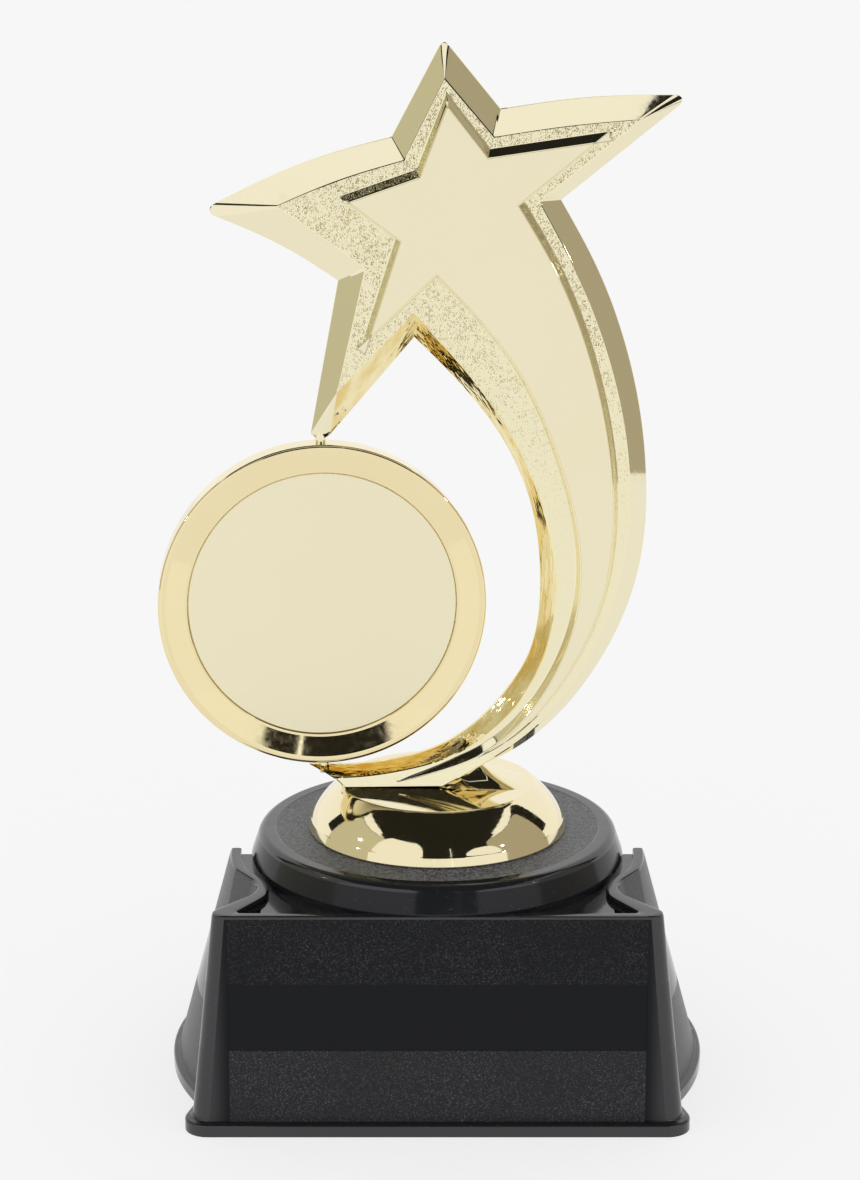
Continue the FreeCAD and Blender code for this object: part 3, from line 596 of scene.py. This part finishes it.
def grained_solid(name, low, high, scale, roughness, metallic=0.0):
    """Simple grained material for the pieces inside the base."""
    nodes = Nodes(name)
    grain = nodes.noise(nodes.coordinates, scale, 4.0, 0.6)
    nodes.feed("Base Color", nodes.tint(grain, low, high))
    nodes.feed("Roughness", nodes.span(grain, 0.3, 0.7, roughness * 0.8, roughness * 1.2))
    nodes.feed("Normal", nodes.bump(grain, 0.0001))
    nodes.set(Metallic=metallic)
    return nodes.material


gold = mirror_gold("mirror_gold", (0.875, 0.8, 0.555), (0.89, 0.83, 0.605))
disc_gold = mirror_gold("disc_gold", (0.87, 0.74, 0.43), (0.89, 0.78, 0.49))
foot_gold = mirror_gold("foot_gold", (0.875, 0.77, 0.5), (0.885, 0.8, 0.55))
satin = satin_gold()
# A face takes the first finish of its piece unless it is given the number of another
FIGURE_FINISHES = [gold, stippled_gold(), streaked_gold_and_painted_reflection()]
STIPPLED, STREAKED = 1, 2
BASE_FINISHES = [
    black_gloss("black_gloss", 0.68),
    sanded_black(),
    black_panel(),
    black_wall(),
    black_gloss("riser_black", 0.25),
]
SANDED, PANEL_FRONT, WALL, RISER_WALL = 1, 2, 3, 4
zinc_steel = grained_solid("zinc_steel", (0.5, 0.5, 0.48), (0.66, 0.66, 0.64), 900.0, 0.3, 1.0)
# The pieces that keep the frame's own shape
NODE_MATERIALS = {
    "base_felt": grained_solid("black_felt", (0.01, 0.01, 0.012), (0.035, 0.035, 0.04), 1800.0, 0.9),
    "base_board": grained_solid("hardboard", (0.22, 0.14, 0.08), (0.36, 0.25, 0.16), 500.0, 0.8),
    "base_weight": grained_solid("cast_iron", (0.06, 0.06, 0.06), (0.16, 0.155, 0.15), 320.0, 0.6, 1.0),
    "fixing_bolt": zinc_steel,
    "fixing_washer": zinc_steel,
    "captive_nut": zinc_steel,
    "upper_pivot_pin": gold,
    "lower_pivot_pin": gold,
    "front_insert": satin,
    "rear_insert": satin,
}


# ------------------------------------------------------------------ gold figure
def build_figure_half(name, side, node):
    """One half of the star and its tail. side is -1 for the front and 1 for the rear."""
    shell = Shell(name)
    rim_counts, panel_counts = step_counts(RIM), step_counts(PANEL)
    rim, face, panel = sampled(RIM, rim_counts), sampled(FACE, rim_counts), sampled(PANEL, panel_counts)
    # the panel's height as a share of the full one, which fades away towards the tail's point
    _, tail_points = PANEL[TAIL_STRETCH]
    rise = np.clip(np.linalg.norm(panel - np.array(tail_points[0]), axis=1) / TAIL_TAPER, 0.02, 1.0)
    crown = grown(panel, -PANEL_DRAFT * rise) - np.outer(rise, (0.0, CROWN_DROP))
    crown_depth = FACE_DEPTH + (PANEL_DEPTH - FACE_DEPTH) * rise
    wall_depth = crown_depth - CROWN_EDGE_DROP * rise

    def level(flat, depth):
        depths = np.full(len(flat), depth) if np.isscalar(depth) else depth
        swell = np.clip(SWELL_TOP - flat[:, 1], 0.0, SWELL_REACH) * SWELL_SLOPE * (depths >= FACE_DEPTH)
        return np.stack([flat[:, 0], side * (depths + swell), flat[:, 1]], axis=1)

    # half of the flat edge, then the bevel up to the sunken border, with a facet on each edge
    soft = EDGE_SOFTNESS
    rim_edge, face_edge = level(rim, EDGE_HALF), level(face, FACE_DEPTH)
    outer = [
        shell.row(level(rim, 0.0)),
        shell.row(level(rim, EDGE_HALF - soft)),
        shell.row(towards(rim_edge, face_edge, soft)),
        shell.row(towards(face_edge, rim_edge, soft)),
        shell.row(level(grown(face, -soft), FACE_DEPTH)),
    ]
    first_face = len(shell.faces)
    shell.rows(outer)
    starts = stretch_starts(rim_counts)
    streaked_span = range(starts[INNER_BEVELS[0]], starts[INNER_BEVELS[1] + 1])
    for k in range(first_face, len(shell.faces)):
        if (k - first_face) % len(rim) in streaked_span:
            shell.slots[k] = STREAKED

    # the raised panel: its side wall, its edge and the groove inside that
    panel_foot, panel_top = level(panel, FACE_DEPTH), level(crown, wall_depth)
    inner = [
        shell.row(level(grown(panel, soft), FACE_DEPTH)),
        shell.row(towards(panel_foot, panel_top, soft)),
        shell.row(towards(panel_top, panel_foot, soft)),
    ]
    for inset, drop in CROWN_EDGE:
        inner.append(shell.row(level(grown(crown, -inset * rise), crown_depth - drop * rise)))
    first_wall = len(shell.faces) + len(panel)
    shell.rows(inner)
    starts = stretch_starts(panel_counts)
    for stretch in TEXTURED_WALLS:
        for k in range(starts[stretch], starts[stretch + 1]):
            shell.slots[first_wall + k] = STIPPLED

    # the border's floor and the top of the panel
    shell.fill([outer[-1], inner[0]], 0, 2, slot=STIPPLED)
    shell.fill([inner[-1]], 0, 2)
    shell.build(FIGURE_FINISHES, "stand", node)


# ------------------------------------------------------------------ disc
def disc_placement():
    """Puts what is turned about Z onto the disc's own axis, which runs out through its front insert."""
    joint = frame["joints"][0]
    axis = next(m for m in frame["record"]["mounts"] if m["name"] == "insert_face")["axis"]
    yaw = math.atan2(axis[0], -axis[1])
    centre = Vector(joint["pos_m"]) / MM
    return Matrix.Translation(centre) @ Matrix.Rotation(yaw, 4, "Z") @ Matrix.Rotation(math.pi / 2, 4, "X")


def build_disc_half(name, side, node):
    """Dished ring with a rounded edge and a thin step round the insert. side is 1 for the front."""
    shell = Shell(name)
    profile = [
        (DISC_RADIUS, 0.0),
        (DISC_RADIUS, DISC_HALF - DISC_EDGE),
        (DISC_RADIUS - DISC_EDGE, DISC_HALF),
        (DISC_RADIUS - DISC_BORDER, DISC_HALF),
        (LIP_RADIUS, DISC_HALF - LIP_DEPTH),
        (LIP_RADIUS - LIP_WIDTH, DISC_HALF - LIP_DEPTH - 0.02),
        (SEAT_RADIUS, SEAT_Z),
        (SEAT_HOLE, SEAT_Z),
    ]
    rounded = [(radius, side * z) for radius, z in softened(profile, 0.22)]
    lathe(shell, rounded, steps=256, place=disc_placement())
    shell.build([disc_gold], "spinner", node)


# ------------------------------------------------------------------ gold foot
# The stem's outline on the foot and under the tail, as its front half
STEM_LOW = at_height([(-3.0, -2.4), (5.0, -6.4), (16.5, -6.0)], FOOT_TOP_Z - 0.1)
STEM_HIGH = [(-1.0, -2.8, 56.5), (3.0, -3.1, 57.9), (8.6, -3.1, 60.3)]


def foot_profile():
    """The band that leans back a little, the domed cone over it and the flat top."""
    shoulder, cone_steps = FOOT_RADIUS - 0.6, 10
    profile = [
        (FOOT_RADIUS - 0.1, RISER_Z),
        (FOOT_RADIUS, RISER_Z + 0.2),
        (FOOT_RADIUS - 0.5, FOOT_BAND_Z - 0.15),
        (shoulder, FOOT_BAND_Z),
    ]
    for k in range(1, cone_steps + 1):
        share = k / cone_steps
        narrowing = 0.55 * share + 0.45 * share ** 2
        height = FOOT_BAND_Z + (FOOT_TOP_Z - 0.5 - FOOT_BAND_Z) * share
        profile.append((shoulder - (shoulder - FOOT_TOP_RADIUS) * narrowing, height))
    profile += [(FOOT_TOP_RADIUS - 0.7, FOOT_TOP_Z), (8.0, FOOT_TOP_Z), (0.01, FOOT_TOP_Z)]
    return softened(profile, 0.3)


def stem_outline(front_half):
    return softened_loop(front_half + [(x, -y, z) for x, y, z in reversed(front_half)])


def build_foot(node):
    """The round foot and the wedge that runs from the tail's lower edge down onto it."""
    shell = Shell("foot_casting")
    lathe(shell, foot_profile())
    low, high, steps = stem_outline(STEM_LOW), stem_outline(STEM_HIGH), 8
    rows = []
    for k in range(steps + 1):
        share = k / steps
        flat = between(low[:, :2], high[:, :2], 1 - (1 - share) ** 1.5)
        heights = between(low[:, 2], high[:, 2], share)
        rows.append(shell.row([(x, y, z) for (x, y), z in zip(flat, heights)]))
    shell.rows(rows)
    shell.build([foot_gold], "stand", node)


# ------------------------------------------------------------------ black base
# Each outline of the shield: its front, its corner, the flute behind it, where the wing's arc starts, and the
# radii of the corner and the flute
BOTTOM_OUTLINE = {"front": 37.4, "corner": 46.6, "flute": (43.4, 26.8), "wing_y": 21.8, "radii": (3.4, 4.0)}
TOP_OUTLINE = {"front": 36.0, "corner": 43.7, "flute": (31.8, 21.4), "wing_y": 11.5, "radii": (2.4, 8.0)}
FLANGE_OUTLINE = {"front": 38.9, "corner": 48.1, "flute": (44.8, 26.6), "wing_y": 22.6, "radii": (4.4, 3.0)}
ARC_STEPS, REAR_STEPS, RISER_ARC = 14, 90, 4
# The flat front is this many columns of faces to each side of the middle, and the wings lie behind WING_FRONT
FLAT_COLUMNS, WING_FRONT = 3, -27.5
# Half of the step from the grain down to the band, as a share of the wall's height
BAND_STEP = 0.0006
WELL_CORNERS = [(32.4, -33.6), (35.4, -33.6), (35.6, -33.2), (32.4, -28.6)]


def rounded_points(corners):
    """Points along corners (x, y, radius), with each inner corner as an arc of that radius."""
    out = [Vector(corners[0][:2])]
    for before, here, after in zip(corners, corners[1:], corners[2:]):
        corner = Vector(here[:2])
        back = (Vector(before[:2]) - corner).normalized()
        ahead = (Vector(after[:2]) - corner).normalized()
        half = back.angle(ahead) / 2
        centre = corner + (back + ahead).normalized() * (here[2] / math.sin(half))
        start = corner + back * (here[2] / math.tan(half)) - centre
        end = corner + ahead * (here[2] / math.tan(half)) - centre
        sweep = start.angle_signed(end)
        for k in range(ARC_STEPS + 1):
            out.append(centre + Matrix.Rotation(-sweep * k / ARC_STEPS, 2) @ start)
    out.append(Vector(corners[-1][:2]))
    return out


def shield_points(outline, wing_radius, inset=0.0):
    """Open outline of the front shield, from the left wing's end round the front to the right one's.

    An inset moves it inwards, for the inner side of the rim. The corner moves further in than the rest,
    because the side behind it is slanted. So does the end of the flat front, which keeps the columns even.
    """
    front = -outline["front"] + inset
    flute = (-outline["flute"][0] + inset, -outline["flute"][1] - inset * 0.3)
    wing_radius -= inset
    wing_y = outline["wing_y"] - inset * 0.3
    corner_x = outline["corner"] - inset * (outline["corner"] - outline["flute"][0]) / 5.0 - inset
    wing_start = math.pi + math.asin(wing_y / wing_radius)
    edge = BAND_HALF - 2.2 * inset
    corner_radius, flute_radius = outline["radii"]
    left = [(0.0, front), (-edge, front)]
    left += rounded_points([
        (-edge - 0.05, front, 0),
        (-corner_x, front, max(corner_radius - inset, 0.8)),
        (*flute, flute_radius + inset),
        (wing_radius * math.cos(wing_start), wing_radius * math.sin(wing_start), 0),
    ])
    for k in range(1, ARC_STEPS + 1):
        angle = wing_start + (math.pi - wing_start) * k / ARC_STEPS
        left.append(Vector((wing_radius * math.cos(angle), wing_radius * math.sin(angle))))
    left = [(p[0], p[1]) for p in left]
    right = [(-x, y) for x, y in left]
    return np.array(list(reversed(left)) + right[1:])


def rear_points(radius):
    """Points round the rear half of a circle, without its two ends."""
    angles = np.linspace(0, math.pi, REAR_STEPS + 1)[1:-1]
    return [(radius * math.cos(a), radius * math.sin(a)) for a in angles]


def add_flange(shell, low):
    """Foot flange with a rounded upper edge, up to the foot of the shield and the bell."""
    flange = np.array(list(shield_points(FLANGE_OUTLINE, FLANGE_RADIUS)) + rear_points(FLANGE_RADIUS))
    foot = np.array(list(low) + rear_points(CONE_LOW))
    edge_z = FLANGE_TOP - FLANGE_SOFTNESS
    rows = [at_height(flange, 0.0), at_height(flange, edge_z)]
    for share in (0.25, 0.5, 0.75, 1.0):
        turn = share * math.pi / 2
        flat = between(flange, foot, 0.45 * (1 - math.cos(turn)))
        rows.append(at_height(flat, edge_z + FLANGE_SOFTNESS * math.sin(turn)))
    rows.append(at_height(foot, FLANGE_TOP))
    shell.rows([shell.row(row) for row in rows])


def shield_wall(low, high):
    """Rows of the shield's wall, with the band let into its flat front."""
    height = RIM_Z - FLANGE_TOP
    low_share, high_share = (BAND_LOW - FLANGE_TOP) / height, (BAND_HIGH - FLANGE_TOP) / height
    shares = [0.0, 0.01, low_share - BAND_STEP, low_share + BAND_STEP, 0.5,
              high_share - BAND_STEP, high_share + BAND_STEP, 0.985]
    wall = []
    for share in shares:
        row = at_height(between(low, high, share), FLANGE_TOP + height * share)
        if low_share < share < high_share:
            row = [(x, y + (BAND_RECESS if abs(x) <= BAND_HALF and y < 0 else 0.0), z) for x, y, z in row]
        wall.append(row)
    return wall


def shield_rim(high):
    """Rows of the rounded rim over the wall and down its inner side to the moat."""
    inside = shield_points(TOP_OUTLINE, CONE_HIGH, RIM_WIDTH)
    rim = []
    for share in (0.3, 0.6, 1.0):
        turn = share * math.pi / 2
        flat = between(high, inside, 0.22 * (1 - math.cos(turn)))
        rim.append(at_height(flat, RIM_Z - RIM_SOFTNESS + RIM_SOFTNESS * math.sin(turn)))
    rim.append(at_height(between(high, inside, 0.8), RIM_Z))
    rim.append(at_height(between(high, inside, 0.95), RIM_Z - 0.12))
    rim.append(at_height(inside, RIM_Z - 0.45))
    rim.append(at_height(inside, MOAT_Z))
    return rim


def add_shield(shell, low):
    """The shield's wall and rim, closed at the back. Returns the row round the moat."""
    high = shield_points(TOP_OUTLINE, CONE_HIGH)
    wall = shield_wall(low, high)
    made = [shell.row(row) for row in wall + shield_rim(high)]
    first_face = len(shell.faces)
    shell.rows(made, closed=False)
    columns = len(low) - 1
    for k in range(first_face, first_face + (len(wall) - 1) * columns):
        corners = [shell.points[index] for index in shell.faces[k]]
        if abs((k - first_face) % columns + 0.5 - columns / 2) < FLAT_COLUMNS:
            shell.slots[k] = PANEL_FRONT
        elif all(y > WING_FRONT for _, y, _ in corners):
            shell.slots[k] = WALL
    shell.fill([[row[0] for row in made] + [row[-1] for row in reversed(made)]], 0, 2)
    return made[-1]


def add_moat(shell, edge):
    """Floor of the moat inside the rim, with the two corner wells."""
    wells = []
    for side in (-1, 1):
        corners = [(side * x, y) for x, y in WELL_CORNERS]
        top = shell.row(at_height(corners, MOAT_Z))
        bottom = shell.row(at_height(corners, WELL_Z))
        shell.strip(top, bottom)
        shell.fill([bottom], 0, 1)
        wells.append(top)
    shell.fill([edge] + wells, 0, 1)


def bell_profile():
    """Cone, hollow cove and the ledge round the foot of the riser."""
    slope = (CONE_LOW - CONE_HIGH) / (RIM_Z - FLANGE_TOP)
    low_radius = CONE_LOW - (COVE_LOW - FLANGE_TOP) * slope
    high_radius = RISER_FOOT + 0.4
    profile = [(CONE_LOW, FLANGE_TOP), (low_radius, COVE_LOW)]
    for step in range(1, COVE_STEPS + 1):
        turn = math.pi / 2 * step / COVE_STEPS
        profile.append((high_radius + (low_radius - high_radius) * (1 - math.sin(turn)),
                        COVE_LOW + (COVE_HIGH - COVE_LOW) * (1 - math.cos(turn))))
    profile.append((30.0, COVE_HIGH))
    return softened(profile, 0.4)


def add_riser(shell):
    """Round riser with its smooth border and the sanded plate inside that."""
    sanded_z, steps = RISER_Z - SANDED_DROP, 200
    profile = [
        (RISER_FOOT, MOAT_Z - 2.0),
        (RISER_FOOT, RIM_Z - 0.2),
        (RISER_TOP + 0.15, RISER_Z - RISER_SHOULDER),
        (RISER_TOP - RISER_SHOULDER, RISER_Z),
        (SANDED_RADIUS + 0.2, RISER_Z),
        (SANDED_RADIUS, sanded_z),
    ]
    first_face = len(shell.faces)
    lathe(shell, softened(profile, 0.5, RISER_ARC), steps=steps)
    # the wall is the foot's strip, the bend over it and the sloping strip up to the shoulder
    upright = (RISER_ARC + 2) * steps
    shell.slots[first_face:first_face + upright] = [RISER_WALL] * upright
    lathe(shell, [(SANDED_RADIUS, sanded_z), (24.0, sanded_z), (10.0, sanded_z)], steps=steps, slot=SANDED)


def build_base(node):
    """Flange, front shield, moat, rear bell and riser as one moulding."""
    shell = Shell("base_moulding")
    low = shield_points(BOTTOM_OUTLINE, CONE_LOW)
    add_flange(shell, low)
    moat_edge = add_shield(shell, low)
    add_moat(shell, moat_edge)
    lathe(shell, bell_profile(), turn=(0.0, 180.0), steps=120, slot=WALL)
    add_riser(shell)
    shell.build(BASE_FINISHES, "stand", node)


build_figure_half("star_front", -1, "figure_front_shell")
build_figure_half("star_rear", 1, "figure_rear_shell")
build_disc_half("disc_front", 1, "disc_front_half")
build_disc_half("disc_rear", -1, "disc_rear_half")
build_foot("figure_foot")
build_base("base_shell")
for node, material in NODE_MATERIALS.items():
    mesh = frame["nodes"][node].data
    mesh.materials.clear()
    mesh.materials.append(material)


# ------------------------------------------------------------------ stage, light and camera
# Azimuths are in degrees, 0 in front and 90 on the right, and everything else on the stage is in metres
FLOOR_HALF = 6.0
DARK, WHITE = (0.018, 0.017, 0.014), (1.0, 1.0, 1.0)
LEFT_OLIVE, RIGHT_OLIVE = (0.6, 0.575, 0.45), (0.44, 0.4, 0.315)
LAMP_HALF_WIDTH, LAMP_LOW, LAMP_HIGH, LAMP_STRENGTH = 1.1, 0.26, 0.276, 40.0
CARD_STEPS = 32
CAMERA_PLACE = (-0.001386, -0.48626, 0.22059)
CAMERA_TILT = 75.396      # degrees up from straight down
CAMERA_LENS, SENSOR_WIDTH = 81.04, 36.0     # millimetres


def stage_piece(name, corners, faces, material):
    """A plain mesh that belongs to the stage and not to the trophy."""
    mesh = bpy.data.meshes.new(name)
    mesh.from_pydata(corners, [], faces)
    mesh.materials.append(material)
    piece = bpy.data.objects.new(name, mesh)
    bpy.context.scene.collection.objects.link(piece)
    return piece


def level_corners(low, high, height):
    """Corners of a level rectangle between two points of the plan."""
    return [(low[0], low[1], height), (high[0], low[1], height), (high[0], high[1], height),
            (low[0], high[1], height)]


def emitter(name, colour, strength):
    """A surface that glows evenly."""
    material = bpy.data.materials.new(name)
    material.use_nodes = True
    tree = material.node_tree
    tree.nodes.clear()
    glow = tree.nodes.new("ShaderNodeEmission")
    glow.inputs["Color"].default_value = (*colour, 1.0)
    glow.inputs["Strength"].default_value = strength
    output = tree.nodes.new("ShaderNodeOutputMaterial")
    tree.links.new(glow.outputs[0], output.inputs[0])
    return material


def hidden_card(name, corners, faces, colour, strength=1.0):
    """A glowing card that only the trophy's reflections see."""
    card = stage_piece(name, corners, faces, emitter(name, colour, strength))
    card.visible_camera = False
    card.visible_shadow = False
    card.visible_diffuse = False


def arc_card(name, azimuths, heights, distance, colour, strength=1.0, power=0.0):
    """A standing card bent round the trophy between two azimuths and two heights.

    A power above zero rounds its corners, and 2 makes it an oval.
    """
    start, end = azimuths
    middle, half = (heights[0] + heights[1]) / 2, (heights[1] - heights[0]) / 2
    corners = []
    for k in range(CARD_STEPS + 1):
        share = 2 * k / CARD_STEPS - 1
        turn = math.radians(start + (end - start) * k / CARD_STEPS)
        x, y = distance * math.sin(turn), -distance * math.cos(turn)
        reach = max(1 - abs(share) ** power, 0.0) ** (1 / power) if power else 1.0
        corners += [(x, y, middle - half * reach), (x, y, middle + half * reach)]
    faces = [(2 * k, 2 * k + 2, 2 * k + 3, 2 * k + 1) for k in range(CARD_STEPS)]
    hidden_card(name, corners, faces, colour, strength)


def flat_card(name, low, high, height, colour):
    """A level card given by two corners and a height."""
    hidden_card(name, level_corners(low, high, height), [(0, 1, 2, 3)], colour)


def build_floor():
    """Pale floor that glows enough to run into the background."""
    pale = bpy.data.materials.new("pale_floor")
    pale.use_nodes = True
    shader = pale.node_tree.nodes["Principled BSDF"]
    shader.inputs["Base Color"].default_value = (0.22, 0.22, 0.22, 1.0)
    shader.inputs["Emission Color"].default_value = (1.0, 1.0, 1.0, 1.0)
    shader.inputs["Emission Strength"].default_value = 0.71
    shader.inputs["Roughness"].default_value = 0.9
    shader.inputs["Specular IOR Level"].default_value = 0.0
    corners = level_corners((-FLOOR_HALF, -FLOOR_HALF), (FLOOR_HALF, FLOOR_HALF), 0)
    stage_piece("floor", corners, [(0, 1, 2, 3)], pale)


def build_cards():
    """The tent's dark openings and the bright gap in them, its olive sides, two softboxes and two lamps."""
    arc_card("dark_opening", (-122, 122), (0.29, 1.0), 1.0, DARK)
    arc_card("left_screen", (-112, -50), (-0.8, 0.8), 0.8, LEFT_OLIVE, power=7.0)
    arc_card("right_screen", (50, 112), (-0.8, 0.8), 0.8, RIGHT_OLIVE, power=7.0)
    arc_card("left_softbox", (-60, -12), (-0.05, 0.265), 0.2, WHITE, 0.98, 2.6)
    arc_card("right_softbox", (22, 60), (-0.05, 0.185), 0.2, WHITE, 0.98, 2.6)
    arc_card("bright_gap", (12.4, 13.2), (0.2, 1.0), 0.9, WHITE, 1.2)
    flat_card("canopy", (-0.19, -0.24), (0.19, -0.088), 0.25, DARK)
    flat_card("roof_opening", (-0.64, -0.3), (0.64, 0.5), 0.8, DARK)
    for name, azimuth in (("left_lamp", -78), ("right_lamp", 64)):
        span = (azimuth - LAMP_HALF_WIDTH, azimuth + LAMP_HALF_WIDTH)
        arc_card(name, span, (LAMP_LOW, LAMP_HIGH), 0.4, WHITE, LAMP_STRENGTH, 2.0)


def build_world():
    """Even white light from all round, as inside a light tent."""
    world = bpy.data.worlds.new("light_tent")
    world.use_nodes = True
    glow = world.node_tree.nodes["Background"]
    glow.inputs["Color"].default_value = (1.0, 1.0, 1.0, 1.0)
    glow.inputs["Strength"].default_value = 1.0
    bpy.context.scene.world = world


def build_camera():
    """Camera in front of the trophy, a little above it and looking slightly down."""
    data = bpy.data.cameras.new("camera")
    data.sensor_width = SENSOR_WIDTH
    data.lens = CAMERA_LENS
    data.clip_start, data.clip_end = 0.01, 50.0
    camera = bpy.data.objects.new("camera", data)
    camera.location = CAMERA_PLACE
    camera.rotation_euler = (math.radians(CAMERA_TILT), 0, 0)
    bpy.context.scene.collection.objects.link(camera)
    bpy.context.scene.camera = camera


build_floor()
build_cards()
build_world()
build_camera()
bpy.context.scene.view_settings.view_transform = "Standard"
